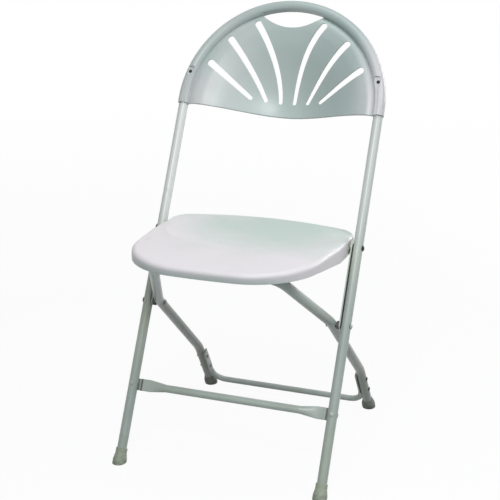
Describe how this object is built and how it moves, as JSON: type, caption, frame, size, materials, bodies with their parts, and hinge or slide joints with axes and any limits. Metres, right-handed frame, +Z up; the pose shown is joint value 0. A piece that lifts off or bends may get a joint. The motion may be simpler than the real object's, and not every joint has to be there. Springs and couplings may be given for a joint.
{
  "type": "folding chair",
  "caption": "Armless folding chair with a bent steel tube frame, a moulded dished seat and an arched fan back with a hand hold.",
  "frame": {"origin": "on the floor, on the middle plane, midway between the foremost point (seat front) and the rearmost point (crown of the back)", "axes": "+Z up, the sitter faces -Y, +X to the right of a viewer who stands in front and looks along +Y"},
  "size_m": [0.4374, 0.5146, 0.8559],
  "materials": {
    "tube_coat": "light grey powder coat, semi-gloss",
    "back_plastic": "off-white moulded plastic, satin",
    "seat_plastic": "off-white moulded plastic, fine grain",
    "foot_plastic": "grey rubbery plastic cap, dull",
    "spacer_plastic": "natural nylon",
    "zinc_steel": "zinc plated",
    "screw_steel": "zinc plated"
  },
  "bodies": {
    "front_frame": {"front_leg_left": "tube_coat", "front_leg_right": "tube_coat", "back_panel": "back_plastic", "back_screws": "screw_steel", "front_brace": "tube_coat", "front_brace_rivets": "zinc_steel", "front_foot_left": "foot_plastic", "front_foot_right": "foot_plastic", "hinge_strap_left": "tube_coat", "hinge_strap_right": "tube_coat", "leg_pivot_spacer_left": "spacer_plastic", "leg_pivot_spacer_right": "spacer_plastic", "leg_pivot_rivet_left": "zinc_steel", "leg_pivot_rivet_right": "zinc_steel", "seat_pivot_washer_left": "spacer_plastic", "seat_pivot_washer_right": "spacer_plastic", "seat_pivot_rivet_left": "zinc_steel", "seat_pivot_rivet_right": "zinc_steel"},
    "rear_frame": {"rear_leg_frame": "tube_coat", "rear_brace": "tube_coat", "rear_brace_rivets": "zinc_steel", "rear_foot_left": "foot_plastic", "rear_foot_right": "foot_plastic"},
    "seat": {"seat_pan": "seat_plastic", "seat_hinge_plate_left": "zinc_steel", "seat_hinge_plate_right": "zinc_steel", "seat_hinge_rivets": "zinc_steel", "seat_stop_bracket_left": "zinc_steel", "seat_stop_bracket_right": "zinc_steel", "seat_stop_screws": "zinc_steel"}
  },
  "joints": [
    {"name": "rear_frame_fold", "type": "hinge", "parent": "front_frame", "child": "rear_frame", "pos_m": [0, -0.0439, 0.28606], "axis": [-1, 0, 0], "range_deg": [0, 68]},
    {"name": "seat_fold", "type": "hinge", "parent": "front_frame", "child": "seat", "pos_m": [0, 0.0256, 0.41956], "axis": [-1, 0, 0], "range_deg": [0, 86.8]}
  ],
  "couplings": [
    {"joint": "seat_fold", "follows": "rear_frame_fold", "ratio": 1.2763}
  ]
}
